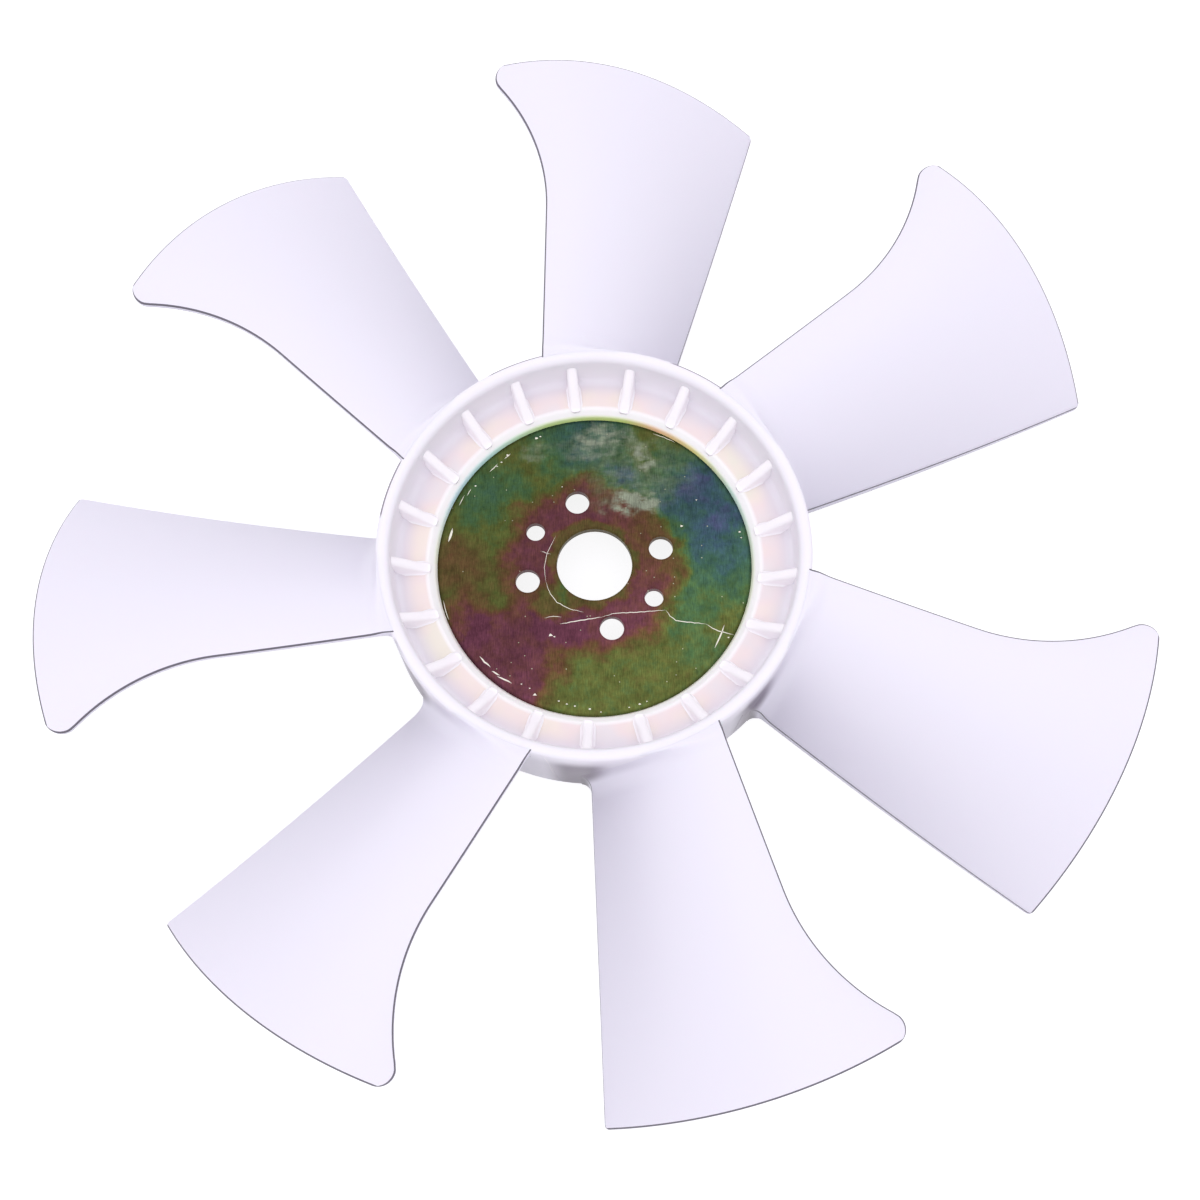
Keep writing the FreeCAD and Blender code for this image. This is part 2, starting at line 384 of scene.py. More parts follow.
def film_colour(tree, flat, moved):
    """Interference colour of the film, by its thickness from thin (0) to thick (1)."""
    film = 0.47
    unevenness = 0.34
    for x, y, full, faded, amount in FILM_PATCHES:
        apart = add(tree, "ShaderNodeVectorMath", {0: moved, 1: (x, y, 0.0)}, operation="DISTANCE")
        patch = add(tree, "ShaderNodeMapRange", {0: apart.outputs["Value"], 1: full, 2: faded,
                                                 3: amount, 4: 0.0}, interpolation_type="SMOOTHSTEP")
        film = add(tree, "ShaderNodeMath", {0: patch.outputs[0], 1: film}, operation="ADD").outputs[0]
    fine = add(tree, "ShaderNodeTexNoise", {"Vector": flat, "Scale": 0.22, "Detail": 6.0,
                                            "Roughness": 0.7})
    film = add(tree, "ShaderNodeMath", {0: fine.outputs["Fac"], 1: unevenness, 2: film},
               operation="MULTIPLY_ADD")
    film = add(tree, "ShaderNodeMath", {0: film.outputs[0], 1: unevenness / 2}, operation="SUBTRACT")
    colour = add(tree, "ShaderNodeValToRGB", {0: film.outputs[0]})
    ramp_stops(colour, FILM_COLOURS)
    return colour.outputs[0]


def rub_haze(tree, flat, moved):
    """Share of the haze: rub marks drawn out along X and broken up by streaks 3 mm high."""
    streak = add(tree, "ShaderNodeMapping", {"Vector": flat, "Scale": (0.15, 0.32, 1.0)})
    broken = add(tree, "ShaderNodeTexNoise", {"Vector": streak.outputs[0], "Scale": 1.0,
                                              "Detail": 5.0, "Roughness": 0.6})
    patchy = add(tree, "ShaderNodeMapRange", {0: broken.outputs["Fac"], 1: 0.32, 2: 0.64})
    rubbed = 0.0
    for x, y, wide, high, strength in RUB_MARKS:
        place = add(tree, "ShaderNodeMapping", {"Vector": moved,
                                                "Location": (-x / wide, -y / high, 0.0),
                                                "Scale": (1 / wide, 1 / high, 1.0)})
        apart = add(tree, "ShaderNodeVectorMath", {0: place.outputs[0]}, operation="LENGTH")
        mark = add(tree, "ShaderNodeMapRange", {0: apart.outputs["Value"], 1: 0.2, 2: 1.0,
                                                3: strength, 4: 0.0}, interpolation_type="SMOOTHSTEP")
        rubbed = add(tree, "ShaderNodeMath", {0: mark.outputs[0], 1: rubbed},
                     operation="MAXIMUM").outputs[0]
    haze = add(tree, "ShaderNodeMath", {0: rubbed, 1: patchy.outputs[0]}, operation="MULTIPLY")
    return haze.outputs[0]


def worn_specks(tree, flat):
    """Share of the bright specks where the film has worn through, half a millimetre across."""
    cells = add(tree, "ShaderNodeTexVoronoi", {"Vector": flat, "Scale": 0.40}, voronoi_dimensions="2D")
    spot = add(tree, "ShaderNodeMapRange", {0: cells.outputs["Distance"], 1: 0.05, 2: 0.10, 3: 1.0,
                                            4: 0.0})
    pick = add(tree, "ShaderNodeMath", {0: cells.outputs["Color"], 1: 0.86}, operation="GREATER_THAN")
    return add(tree, "ShaderNodeMath", {0: spot.outputs[0], 1: pick.outputs[0]},
               operation="MULTIPLY").outputs[0]


def passivated_steel():
    """Cold rolled steel sheet, zinc plated and yellow passivated.

    The film shows interference colours, maroon round the holes and olive to teal
    elsewhere. The rolling grain runs straight up and down and breaks up the sheen.
    """
    material, tree, output = new_material("steel_yellow_passivated")
    _, flat, radius, _, _ = polar_coordinates(tree)

    # The film's patches wander by a few millimetres, so that none is round
    drift = add(tree, "ShaderNodeTexNoise", {"Vector": flat, "Scale": 0.07, "Detail": 4.0,
                                             "Roughness": 0.6})
    centred = add(tree, "ShaderNodeVectorMath", {0: drift.outputs["Color"], 1: (0.5, 0.5, 0.5)},
                  operation="SUBTRACT")
    moved = add(tree, "ShaderNodeVectorMath", {0: centred.outputs[0], 1: (26.0, 26.0, 0.0), 2: flat},
                operation="MULTIPLY_ADD").outputs[0]
    hazed = add(tree, "ShaderNodeMix", {0: rub_haze(tree, flat, moved),
                                        6: film_colour(tree, flat, moved),
                                        7: linear("#868C7C")}, data_type="RGBA")
    worn = add(tree, "ShaderNodeMix", {0: worn_specks(tree, flat), 6: hazed.outputs[2],
                                       7: linear("#A2A28C")}, data_type="RGBA")

    # Rolling grain: threads 0.4 mm wide and 4 mm long, up and down the sheet, and a
    # mottled film over it, from 6 mm down to fine grains
    along = add(tree, "ShaderNodeMapping", {"Vector": flat, "Scale": (2.5, 0.25, 1.0)})
    grain = add(tree, "ShaderNodeTexNoise", {"Vector": along.outputs[0], "Scale": 1.0, "Detail": 4.0,
                                             "Roughness": 0.65})
    mottle = add(tree, "ShaderNodeTexNoise", {"Vector": flat, "Scale": 0.15, "Detail": 7.0,
                                              "Roughness": 0.75})

    # Paler towards the lower right, and a dark line at the nylon
    across = add(tree, "ShaderNodeVectorMath", {0: flat, 1: (0.70, -0.71, 0.0)},
                 operation="DOT_PRODUCT")
    level = zone(tree,
                 (grain.outputs["Fac"], 0.3, 0.7, 0.72, 1.30, "LINEAR"),
                 (mottle.outputs["Fac"], 0.3, 0.7, 0.60, 1.28, "LINEAR"),
                 (across.outputs["Value"], 0.0, 36.0, 1.0, 1.38, "SMOOTHSTEP"),
                 (radius, window_radius - 1.4, window_radius - 0.2, 1.0, 0.45, "LINEAR"))
    shade = add(tree, "ShaderNodeVectorMath", {0: worn.outputs[2], "Scale": level}, operation="SCALE")
    bump = add(tree, "ShaderNodeBump", {"Height": grain.outputs["Fac"], "Strength": 0.12,
                                        "Distance": 0.0002})
    shader = add(tree, "ShaderNodeBsdfPrincipled", {
        "Base Color": shade.outputs[0],
        "Metallic": 1.0,
        "Roughness": 0.42,
        "Normal": bump.outputs[0],
    })
    tree.links.new(shader.outputs[0], output.inputs["Surface"])
    return material


def scratched_steel():
    """Bright steel where a sharp edge has cut through the passivation."""
    material, tree, output = new_material("steel_bright_scratch")
    shader = add(tree, "ShaderNodeBsdfPrincipled", {
        "Base Color": linear("#E6E1D8"), "Metallic": 1.0, "Roughness": 0.5})
    tree.links.new(shader.outputs[0], output.inputs["Surface"])
    return material


def mesh_object(name, points, faces, material):
    """Closed mesh of quads from points in mm, turned over if its faces look inwards."""
    a, b, c, d = points[faces].transpose(1, 0, 2)
    volume = np.sum(a * np.cross(b, c)) + np.sum(a * np.cross(c, d))
    if volume < 0:
        faces = faces[:, ::-1]
    mesh = bpy.data.meshes.new(name)
    mesh.from_pydata((points * METRES).tolist(), [], faces.tolist())
    mesh.materials.append(material)
    mesh.shade_smooth()
    made = bpy.data.objects.new(name, mesh)
    bpy.context.scene.collection.objects.link(made)
    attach(made, "root")
    return made


def ring_faces(rows, columns, close_rows):
    """Quads of a grid whose columns run round a closed section, rows open or closed."""
    last = rows if close_rows else rows - 1
    row, column = np.meshgrid(np.arange(last), np.arange(columns), indexing="ij")
    ahead = (row + 1) % rows
    beside = (column + 1) % columns
    quads = np.stack([row * columns + column, row * columns + beside,
                      ahead * columns + beside, ahead * columns + column], -1)
    return quads.reshape(-1, 4)


def ladder(first, columns):
    """Quads that close a section of two equal sides, the second side running back."""
    half = columns // 2
    step = np.arange(half - 1)
    return first + np.stack([step, step + 1, columns - 2 - step, columns - 1 - step], -1)


def capped_faces(rows, columns):
    """Quads of a grid of closed sections, with both its ends closed."""
    return np.concatenate([ring_faces(rows, columns, False), ladder(0, columns)[:, ::-1],
                           ladder((rows - 1) * columns, columns)])


def rounded_profile(corners, steps=8):
    """Closed line through (radius, height, rounding) corners, each rounded by an arc.

    The arc's centre lies on the corner's bisector, a rounding radius from both sides.
    Its points follow the circle from the one touching point to the other.
    """
    places = np.array([c[:2] for c in corners], float)
    line = []
    for index, place in enumerate(places):
        rounding = corners[index][2]
        if rounding == 0:
            line.append(place[None])
            continue
        before = places[index - 1] - place
        after = places[(index + 1) % len(places)] - place
        before /= np.hypot(*before)
        after /= np.hypot(*after)
        half = math.acos(np.clip(before @ after, -1, 1)) / 2
        middle = before + after
        centre = place + middle / np.hypot(*middle) * rounding / math.sin(half)
        start = place + before * rounding / math.tan(half) - centre
        side = start / np.hypot(*start)
        end = place + after * rounding / math.tan(half) - centre
        sweep = math.acos(np.clip(side @ end / np.hypot(*end), -1, 1))
        across = np.array([-side[1], side[0]])
        across *= np.sign(across @ end)
        turn = np.linspace(0, sweep, steps)[:, None]
        line.append(centre + rounding * (side * np.cos(turn) + across * np.sin(turn)))
    return np.concatenate(line)


def revolved(name, profile, material, segments=288, centre=(0.0, 0.0)):
    """Profile of (radius, height) points turned about an upright axis at a centre.

    Point (i, j) is (radius j cos a i, radius j sin a i, height j), with a i the turn.
    """
    turn = np.linspace(0, 2 * np.pi, segments, endpoint=False)[:, None]
    x = centre[0] + profile[:, 0] * np.cos(turn)
    y = centre[1] + profile[:, 0] * np.sin(turn)
    z = np.broadcast_to(profile[:, 1], x.shape)
    points = np.stack([x, y, z], -1).reshape(-1, 3)
    return mesh_object(name, points, ring_faces(segments, len(profile), True), material)


def hub_ring(nylon):
    """Ring wall, web and lips in one revolved profile, all its corners rounded."""
    step_radius = window_radius + lip_step_width
    profile = rounded_profile([
        (window_radius, plate_thickness, 0),
        (step_radius, plate_thickness + lip_step_height, lip_step_rounding),
        (lip_radius + lip_slope, front_floor, lip_rounding),
        (foot_radius, front_floor, foot_rounding),
        (wall_radius, front_rim, rim_inner_rounding),
        (hub_radius, front_rim, rim_rounding),
        (hub_radius, back_rim, rim_rounding),
        (wall_radius, back_rim, rim_rounding),
        (foot_radius, back_floor, foot_rounding),
        (lip_radius + lip_slope, back_floor, lip_rounding),
        (step_radius, -lip_step_height, lip_step_rounding),
        (window_radius, 0.0, 0),
    ])
    return revolved("hub_ring", profile, nylon)


def gussets(name, floor, rim, side, nylon):
    """All the gussets of one side as one mesh.

    A gusset is a section carried outwards along the radius. Its top rises in a straight
    line from the toe to the wall, and its nose is half round seen from the front. The
    section has a rounded top, sides with draft, and feet that flare out on the floor in
    quarter circles. Both are smaller where the gusset is low.
    """
    start = gusset_toe_radius - gusset_lead
    heel = wall_radius + gusset_buried
    top_at_wall = side * (rim - floor) - gusset_drop
    along = start + (heel - start) * np.linspace(0, 1, 28) ** 1.3
    rise = (along - gusset_toe_radius) / (wall_radius - wall_draft / 2 - gusset_toe_radius)
    bend = 0.04
    tall = top_at_wall * (rise + np.sqrt(rise ** 2 + bend ** 2)) / 2
    tall = np.clip(tall, 0.02, top_at_wall + 0.4)[:, None]
    nose = np.clip((along - start) / gusset_nose, 0, 1)[:, None]
    bulge = np.sqrt(1 - (1 - nose) ** 2)
    half_width = gusset_half_width * (gusset_nose_share + (1 - gusset_nose_share) * bulge)
    low = gusset_height_share * tall
    cap = np.minimum(np.minimum(gusset_rounding, low), gusset_width_share * half_width)
    foot = np.minimum(gusset_fillet, low)
    quarter = np.linspace(0, np.pi / 2, 6)[None]
    foot_y = half_width + gusset_draft + foot * (1 - np.sin(quarter))
    foot_z = foot * (1 - np.cos(quarter))
    cap_y = half_width - cap + cap * np.cos(quarter)
    cap_z = tall - cap + cap * np.sin(quarter)
    sunk_y = half_width + gusset_draft + foot
    y = np.concatenate([sunk_y, foot_y, cap_y], 1)
    z = np.concatenate([np.full_like(tall, -gusset_sunk), foot_z, cap_z], 1)
    y = np.concatenate([y, -y[:, ::-1]], 1)
    z = np.concatenate([z, z[:, ::-1]], 1)
    x = np.broadcast_to(along[:, None], y.shape)
    one = np.stack([x, y, floor + side * z], -1)
    turns = np.radians(gusset_start_angle + 360 / gusset_count * np.arange(gusset_count))
    placed = turned(one.reshape(-1, 3), turns)
    faces = capped_faces(*y.shape)
    every = faces[None] + y.size * np.arange(gusset_count)[:, None, None]
    return mesh_object(name, placed.reshape(-1, 3), every.reshape(-1, 4), nylon)


def turned(points, turns):
    """Copies of points turned about the shaft by each angle."""
    cos, sin = np.cos(turns)[:, None], np.sin(turns)[:, None]
    x, y, z = points.T
    height = np.broadcast_to(z, (len(turns), len(z)))
    return np.stack([x * cos - y * sin, x * sin + y * cos, height], -1)


def at_radius(values, radius):
    """Value at a radius, on the parabola through its root, middle and tip values."""
    return np.polyval(np.polyfit(section_radii, values, 2), radius)


def circle_crossing(centre, reach, radius, side):
    """Angle at which a circle about the shaft meets a circle about a centre.

    By the law of cosines the crossing stands off the centre's own angle by
    acos((r^2 + d^2 - reach^2) / 2 r d), and side says on which hand.
    """
    distance = np.hypot(*centre)
    share = (radius ** 2 + distance ** 2 - reach ** 2) / (2 * radius * distance)
    return math.atan2(centre[1], centre[0]) + side * np.arccos(np.clip(share, -1, 1))


def line_crossing(point, slant, radius):
    """Angle at which a circle about the shaft meets the line through a point."""
    ahead = np.array([math.cos(slant), math.sin(slant)])
    nearest = point - ahead * (point @ ahead)
    run = np.sqrt(radius ** 2 - nearest @ nearest)
    return np.arctan2(nearest[1] + ahead[1] * run, nearest[0] + ahead[0] * run)


def leading_outline(radius):
    """Angle of the leading edge: a straight line, the hook's arc and the corner's arc."""
    slant = math.radians(leading_slant)
    root = np.array([hub_radius, leading_root_offset])
    bend = root + leading_straight * np.array([math.cos(slant), math.sin(slant)])
    hook = bend + hook_radius * np.array([-math.sin(slant), math.cos(slant)])
    inner = tip_radius - hook_corner_rounding
    turn = circle_crossing(hook, hook_radius + hook_corner_rounding, inner, -1)
    corner = inner * np.array([math.cos(turn), math.sin(turn)])
    touch = corner + (hook - corner) / np.hypot(*(hook - corner)) * hook_corner_rounding
    straight = line_crossing(root, slant, radius)
    hooked = circle_crossing(hook, hook_radius, radius, -1)
    rounded = circle_crossing(corner, hook_corner_rounding, radius, 1)
    return np.where(radius < np.hypot(*bend), straight,
                    np.where(radius < np.hypot(*touch), hooked, rounded))


def trailing_outline(radius):
    """Angle of the trailing edge: a straight line and a small arc at the tip."""
    root = np.array([hub_radius, -trailing_root_offset])
    slant = math.atan2(trailing_root_offset - trailing_tip_offset, tip_radius - hub_radius)
    straight = line_crossing(root, slant, radius)
    aside = root + trailing_corner_rounding * np.array([-math.sin(slant), math.cos(slant)])
    inner = tip_radius - trailing_corner_rounding
    turn = line_crossing(aside, slant, inner)
    corner = inner * np.array([np.cos(turn), np.sin(turn)])
    touch = corner - trailing_corner_rounding * np.array([-math.sin(slant), math.cos(slant)])
    rounded = circle_crossing(corner, trailing_corner_rounding, radius, -1)
    return np.where(radius < np.hypot(*touch), straight, rounded)


def quarter_flare(depth, size):
    """How far a quarter-circle fillet of a size stands out at a depth from its wall.

    Under the wall's face it runs on steeply for a short way, so that it starts along the
    wall.
    """
    left = np.clip(size - depth, 0, size)
    return size - np.sqrt(size ** 2 - left ** 2) + buried_slope * np.clip(-depth, 0, buried_run)


def soft_limit(value, limit, blend):
    """Value kept under a limit, rounding over within a blend length."""
    over = (value - limit) / blend
    return limit + blend * (over - np.logaddexp(0, over))


def blade_points(columns=72, middle_rows=54, fillet_rows=12, tip_rows=11):
    """Grid of one blade, its trailing tip on +X: rows along the radius, columns round it.

    A section's middle height is foot + rise s + 4 camber s (1 - s), with s the share of
    the chord. Half the thickness is laid off square to it. The edges are rounded by
    quarter circles. At the hub both faces flare out in a fillet, which stays under a cone
    that opens from the ring's rims, so that it doesn't stand over them.
    """
    inner = [hub_radius - root_buried, hub_radius - buried_run]
    quarter = np.linspace(0, np.pi / 2, edge_points)
    near_hub = hub_radius + root_fillet * (1 - np.cos(np.linspace(0, np.pi / 2, fillet_rows)))
    middle = np.linspace(hub_radius + root_fillet, tip_radius - tip_zone, middle_rows)[1:-1]
    to_tip = np.linspace(1, 0, tip_rows) ** 1.6
    near_tip = tip_radius - edge_rounding - (tip_zone - edge_rounding) * to_tip
    last = tip_radius - edge_rounding * (1 - np.sin(quarter[1:]))
    radius = np.concatenate([inner, near_hub, middle, near_tip, last])[:, None]

    # Share of the way across, gathered at both edges so that their rounding is smooth
    start = trailing_outline(radius)
    end = leading_outline(radius)
    depth = radius - hub_radius
    start = start - quarter_flare(np.maximum(depth, 0), trailing_fillet) / radius
    width = radius * (end - start)
    round_in = np.tile(edge_rounding * (1 - np.cos(quarter)), (len(radius), 1))
    inside = np.linspace(0, 1, columns // 2 - 2 * edge_points + 2)[None, 1:-1]
    across = np.concatenate([round_in, edge_rounding + (width - 2 * edge_rounding) * inside,
                             width - round_in[:, ::-1]], 1)
    theta = start + across / radius

    trailing = np.radians(at_radius(trailing_angles, radius))
    leading = np.radians(at_radius(leading_angles, radius))
    share = (theta - trailing) / (leading - trailing)
    chord = radius * (leading - trailing)
    rise = at_radius(chord_rises, radius)
    camber = at_radius(camber_heights, radius)
    centre = plate_thickness + at_radius(trailing_heights, radius) + rise * share \
        + 4 * camber * share * (1 - share)
    slope = (rise + 4 * camber * (1 - 2 * share)) / chord
    to_edge = np.minimum(np.minimum(across, width - across), tip_radius - radius)
    rounded = edge_rounding - np.sqrt(edge_rounding ** 2
                                      - np.clip(edge_rounding - to_edge, 0, edge_rounding) ** 2)
    half = at_radius(blade_thicknesses, radius) / 2 - rounded
    steep = np.hypot(1, slope)
    above = (half + quarter_flare(depth, root_fillet)) * steep
    under = (half + quarter_flare(depth, back_root_fillet)) * steep
    spread = math.tan(math.radians(rim_flare)) * np.maximum(depth, 0)
    front = soft_limit(centre + above, front_rim - rim_margin + spread, front_blend)
    back = -soft_limit(under - centre, rim_margin - back_rim + spread, back_blend)

    def placed(height):
        return np.stack([radius * np.cos(theta), radius * np.sin(theta), height], -1)

    return np.concatenate([placed(front), placed(back)[:, ::-1]], 1)


def painted_shade_edge_faces(rows, columns):
    """For each face of a blade's grid, whether it is on a rounded edge's painted shade.

    The grid's columns run over the front from the trailing to the leading edge, and back
    again behind. Five faces round each edge, and a flat one closes each half. The painted
    shade takes, in front, 2 of the five at the trailing edge and 4 at the leading edge, 3
    at both edges behind, and the last 4 rows at the tip.
    """
    row, column = np.meshgrid(np.arange(rows - 1), np.arange(columns), indexing="ij")
    half = columns // 2
    place = column % half
    on_front = column < half
    at_start = place < np.where(on_front, 2, 3)
    at_end = place >= half - np.where(on_front, 5, 4)
    at_tip = row >= rows - 5
    return ((at_start | at_end | at_tip) & (place != half - 1)).ravel()


def blades(nylon, painted_shade_edge_nylon):
    """The seven blades, each a closed mesh, unevenly spaced round the hub."""
    grid = blade_points()
    rows, columns = grid.shape[:2]
    faces = capped_faces(rows, columns)
    material_index = np.zeros(len(faces), np.int32)
    # Faces on parts of the rounded edges take a dark grey nylon: painted shade along the edges
    edge = painted_shade_edge_faces(rows, columns)
    material_index[:len(edge)] = edge
    for number, angle in enumerate(blade_angles, 1):
        points = turned(grid.reshape(-1, 3), np.radians([angle]))[0]
        blade = mesh_object(f"blade_{number}", points, faces, nylon)
        blade.data.materials.append(painted_shade_edge_nylon)
        blade.data.polygons.foreach_set("material_index", material_index)


def hole_edges(steel):
    """Rolled-over edges of the punched holes: a thin ring round each hole's mouth."""
    holes = [("bore_edge", (0.0, 0.0), bore_radius)]
    for kind, angles, size in (("bolt_edge", bolt_angles, bolt_hole_radius),
                               ("locator_edge", locator_angles, locator_hole_radius)):
        for number, angle in enumerate(angles, 1):
            turn = math.radians(angle)
            centre = (bolt_circle_radius * math.cos(turn), bolt_circle_radius * math.sin(turn))
            holes.append((f"{kind}_{number}", centre, size))
    top = plate_thickness + mark_height
    for name, centre, size in holes:
        mouth = size - mark_foot
        profile = rounded_profile([
            (mouth, top, hole_edge_rounding),
            (size + hole_edge_width, top, 0),
            (size + hole_edge_width, plate_thickness - hole_edge_depth, 0),
            (mouth, plate_thickness - hole_mouth_depth, 0),
        ], steps=6)
        revolved(name, profile, steel, segments=96, centre=centre)


# Scratches through the film, as points in mm, each with its width in the middle
SCRATCHES = (
    (0.55, ((-12.7, -23.1), (-7.0, -22.0), (2.9, -20.4))),
    (0.45, ((2.9, -20.4), (7.2, -19.0), (16.0, -18.6), (26.2, -17.8))),
    (0.50, ((26.2, -17.8), (28.0, -20.4), (30.2, -22.0), (40.8, -23.2))),
    (0.50, ((40.8, -23.2), (44.5, -25.6), (50.9, -27.4))),
    (0.80, ((47.6, -23.6), (46.4, -27.0), (43.9, -32.3))),
    (0.35, ((-18.2, -20.8), (-15.7, -20.0), (-12.0, -20.4))),
    (0.30, ((-14.5, 11.2), (-17.6, 4.5), (-18.6, -1.0), (-18.0, -6.5))),
    (0.40, ((-18.0, -6.5), (-16.6, -10.8), (-13.9, -14.6), (-9.1, -17.3), (-3.9, -18.5))),
    (0.30, ((-20.0, 5.3), (-16.3, 4.1))),
    (0.85, ((-41.8, -35.3), (-39.9, -37.5), (-37.7, -39.4))),
    (0.80, ((-37.3, -40.9), (-34.3, -42.5))),
    (0.85, ((-35.4, -42.8), (-32.1, -44.3), (-29.9, -45.5))),
    (1.30, ((-53.0, 14.5), (-53.5, 12.1), (-54.4, 9.3))),
    (0.40, ((-55.7, -13.8), (-54.6, -18.2), (-53.4, -21.4))),
    (0.35, ((22.0, 52.6), (26.0, 51.2), (30.5, 49.0))),
    (0.50, ((-39.6, 37.2), (-38.0, 38.8), (-36.6, 40.4))),
    (0.45, ((-34.2, 42.4), (-33.0, 43.4), (-31.8, 44.6))),
    (0.40, ((-50.8, 23.6), (-50.0, 25.4), (-49.0, 27.6))),
    (0.40, ((-47.8, 27.6), (-47.2, 29.0), (-46.4, 30.4))),
)

# Flecks chipped out of the film: x, y and radius in mm
FLECKS = (
    (-16.0, -27.3, 0.9), (-14.6, -27.9, 0.5), (-21.5, -49.8, 0.8), (32.5, 15.1, 0.7), (-22.1, 50.9, 0.8),
    (-20.6, 51.6, 0.5), (38.2, 25.5, 0.4), (54.1, 12.7, 0.6), (54.6, 10.4, 0.4), (-7.0, -54.1, 0.5),
    (-9.9, -53.3, 0.5), (-1.6, -55.2, 0.6), (2.4, -56.3, 0.4), (16.4, -53.4, 0.6), (19.0, -52.4, 0.4),
    (-23.4, -47.4, 0.4), (-33.0, 44.0, 0.6), (-35.2, 41.1, 0.5), (-36.8, 39.4, 0.4), (12.6, -54.6, 0.4),
    (-12.8, -52.2, 0.5), (-26.4, -45.8, 0.4), (-44.8, 31.5, 0.5), (-12.2, 31.0, 0.35), (49.0, -28.4, 0.5),
)


def joined(name, parts, material):
    """One object from many closed grids, each given as its points and its faces."""
    points, faces, count = [], [], 0
    for some_points, some_faces in parts:
        points.append(some_points)
        faces.append(some_faces + count)
        count += len(some_points)
    return mesh_object(name, np.concatenate(points), np.concatenate(faces), material)


def scratch(width, corners):
    """Low ridge along a line over the disc's face, tapered to both ends.

    Its section is a low wedge with a flat top. Its width goes with the square root of the
    sine of the share of its length, and its line wavers by a tenth of a millimetre.
    """
    corners = np.array(corners)
    runs = np.concatenate([[0], np.cumsum(np.hypot(*np.diff(corners, axis=0).T))])
    along = np.linspace(0, runs[-1], max(5, int(runs[-1] / 1.2)))
    middle = np.stack([np.interp(along, runs, places) for places in corners.T], -1)
    middle += 0.10 * np.sin(along * 1.9)[:, None] * np.array([0.4, 1.0])
    ahead = np.gradient(middle, axis=0)
    ahead /= np.hypot(*ahead.T)[:, None]
    aside = np.stack([-ahead[:, 1], ahead[:, 0]], -1)
    half = width / 2 * np.sqrt(np.sin(np.linspace(0.04, np.pi - 0.04, len(along))))[:, None]
    sides = [(-1.0, -mark_foot), (-0.5, mark_height), (0.5, mark_height), (1.0, -mark_foot)]
    grid = np.stack([np.concatenate([middle + aside * half * out,
                                     np.full_like(half, plate_thickness + lift)], 1)
                     for out, lift in sides], 1)
    return grid.reshape(-1, 3), capped_faces(len(along), len(sides))


def fleck(x, y, radius, turn):
    """Low six-sided chip mark with a flat top, wider than it is high in the photo."""
    angle = turn + np.linspace(0, 2 * np.pi, 6, endpoint=False)
    reach = radius * (1 + 0.3 * np.sin(3 * angle + turn))
    rim = np.stack([x + reach * np.cos(angle), y + 0.7 * reach * np.sin(angle)], -1)
    inner = np.array([x, y]) + 0.7 * (rim - np.array([x, y]))
    low = np.full((6, 1), plate_thickness - mark_foot)
    high = low + mark_foot + mark_height
    grid = np.concatenate([np.concatenate([rim, low], 1), np.concatenate([inner, high], 1)])
    step = np.arange(6)
    beside = (step + 1) % 6
    walls = np.stack([step, beside, beside + 6, step + 6], -1)
    caps = np.array([[0, 3, 2, 1], [0, 5, 4, 3], [6, 7, 8, 9], [6, 9, 10, 11]])
    return grid, np.concatenate([walls, caps])


def wear_marks(bright):
    """Scratches and flecks on the front of the disc, where bright steel shows."""
    scratches = [scratch(width, corners) for width, corners in SCRATCHES]
    flecks = [fleck(x, y, radius, x) for x, y, radius in FLECKS]
    joined("disc_scratches", scratches, bright)
    joined("disc_flecks", flecks, bright)


# Flash lines up the outer wall: the width in mm, then the angle in degrees and the height
# of each corner
FLASH_LINES = (
    (0.95, ((-102.6, 21.0), (-101.6, 12.0), (-100.8, -2.0), (-99.4, -12.6))),
    (0.90, ((-47.5, 5.2), (-48.3, -3.0), (-49.6, -13.8))),
    (0.70, ((-54.5, 16.0), (-55.6, 7.0))),
)


def flash_line(width, corners):
    """Ridge along a line on the outer wall: a scratch's ridge rolled round the barrel."""
    arcs = [(math.radians(angle) * hub_radius, height) for angle, height in corners]
    flat, faces = scratch(width, arcs)
    turn = flat[:, 0] / hub_radius
    reach = hub_radius + flash_to_mark_height * (flat[:, 2] - plate_thickness)
    return np.stack([reach * np.cos(turn), reach * np.sin(turn), flat[:, 1]], -1), faces


def seen_directly(tree):
    """Socket that is 1 for what the camera, a reflection or a glass sees, and 0 for light."""
    path = add(tree, "ShaderNodeLightPath")
    seen = add(tree, "ShaderNodeMath", {0: path.outputs["Is Camera Ray"],
                                        1: path.outputs["Is Glossy Ray"]}, operation="MAXIMUM")
    return add(tree, "ShaderNodeMath", {0: seen.outputs[0], 1: path.outputs["Is Transmission Ray"]},
               operation="MAXIMUM").outputs[0]


def stage(lowest):
    """Pale floor under the blades. The camera sees it white, with a soft shadow left on it."""
    material, tree, output = new_material("studio_floor")
    matt = add(tree, "ShaderNodeBsdfDiffuse", {"Color": linear("#C2C2C9")})
    shaded = add(tree, "ShaderNodeBsdfDiffuse", {"Color": linear("#9A9AA0")})
    white = add(tree, "ShaderNodeEmission", {"Color": (1, 1, 1, 1), "Strength": 0.86})
    both = add(tree, "ShaderNodeAddShader", {0: shaded.outputs[0], 1: white.outputs[0]})
    mixed = add(tree, "ShaderNodeMixShader", {0: seen_directly(tree), 1: matt.outputs[0],
                                              2: both.outputs[0]})
    tree.links.new(mixed.outputs[0], output.inputs["Surface"])
    mesh = bpy.data.meshes.new("floor")
    side = 4.0
    corners = [(-side, -side, lowest), (side, -side, lowest),
               (side, side, lowest), (-side, side, lowest)]
    mesh.from_pydata(corners, [], [(0, 1, 2, 3)])
    mesh.materials.append(material)
    floor = bpy.data.objects.new("floor", mesh)
    bpy.context.scene.collection.objects.link(floor)


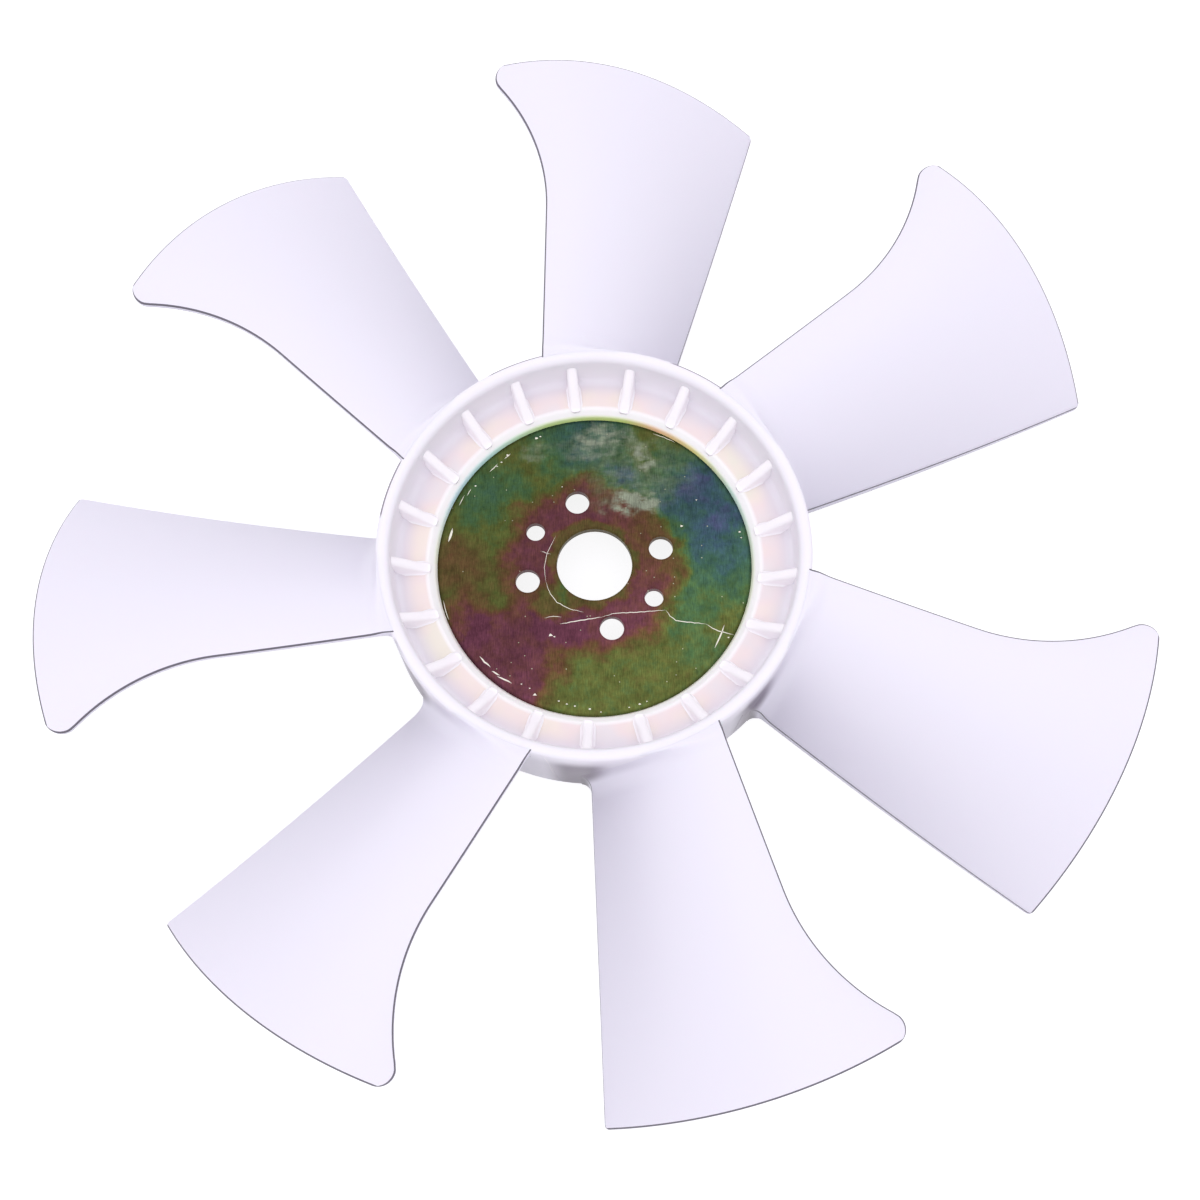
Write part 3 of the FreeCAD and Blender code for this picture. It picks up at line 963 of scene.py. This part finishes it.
def softbox(name, place, size, power):
    """Square soft light at a place, facing the disc."""
    lamp = bpy.data.lights.new(name, "AREA")
    lamp.shape = "SQUARE"
    lamp.size = size
    lamp.energy = power
    made = bpy.data.objects.new(name, lamp)
    made.location = place
    made.rotation_euler = (-Vector(place)).to_track_quat("-Z", "Y").to_euler()
    bpy.context.scene.collection.objects.link(made)


def studio():
    """Large soft light from the front, and a dim even sky."""
    softbox("key_light", (-0.05, 0.15, 1.6), size=1.4, power=3.1)
    softbox("fill_light", (-0.5, -0.7, 1.3), size=1.0, power=0.8)
    world = bpy.data.worlds.new("studio")
    world.use_nodes = True
    tree = world.node_tree
    tree.nodes.clear()
    soft = add(tree, "ShaderNodeBackground", {"Color": linear("#FAF8FE"), "Strength": 1.04})
    white = add(tree, "ShaderNodeBackground", {"Color": (1, 1, 1, 1), "Strength": 1.0})
    sky = add(tree, "ShaderNodeMixShader", {0: seen_directly(tree), 1: soft.outputs[0],
                                            2: white.outputs[0]})
    ends = add(tree, "ShaderNodeOutputWorld", {"Surface": sky.outputs[0]})
    ends.is_active_output = True
    bpy.context.scene.world = world


def viewpoint():
    """Camera above the lower blades, looking down and a little towards the top ones."""
    lens = bpy.data.cameras.new("camera")
    lens.sensor_width = 36.0
    lens.lens = 51.2
    camera = bpy.data.objects.new("camera", lens)
    camera.location = (0.0080, -0.2090, 0.6000)
    camera.rotation_euler = (math.radians(18.1), math.radians(0.57), 0)
    bpy.context.scene.collection.objects.link(camera)
    bpy.context.scene.camera = camera


def main():
    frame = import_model()
    cad_box = [list(corner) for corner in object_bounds()]
    # One nylon in four states: thick over the steel, thin ribs painted whiter as painted light
    # # for the light they get from both sides, clear blades, and parts of the blade edges painted dark
    # grey as painted shade
    nylon = natural_nylon("nylon_moulded_over_steel", True, "#F1EEF5", 3.0, 0.20)
    # Ribs and flash lines: a whiter copy of the nylon, painted light for the light that passes through
    # thin nylon
    painted_light_rib_nylon = natural_nylon("nylon_ribs_painted_light", False, "#FFFBFF", 0.4, 0.05)
    clear_nylon = natural_nylon("nylon_moulded_blades", False, "#EBE8F3", 1.5, 0.12)
    painted_shade_edge_nylon = natural_nylon("nylon_edges_painted_shade", False, "#68646F", 0.4, 0.05)
    steel = passivated_steel()
    ring = hub_ring(nylon)
    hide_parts("impeller")
    gussets("front_gussets", front_floor, front_rim, 1, painted_light_rib_nylon)
    gussets("back_gussets", back_floor, back_rim, -1, painted_light_rib_nylon)
    blades(clear_nylon, painted_shade_edge_nylon)
    flashes = [flash_line(width, corners) for width, corners in FLASH_LINES]
    joined("flash_lines", flashes, painted_light_rib_nylon)
    hole_edges(steel)
    wear_marks(scratched_steel())
    disc = frame["nodes"]["mounting_disc"]
    disc.data.materials.clear()
    disc.data.materials.append(steel)

    stage(cad_box[0][2])
    studio()
    viewpoint()
    bpy.context.scene.view_settings.view_transform = "Standard"


main()
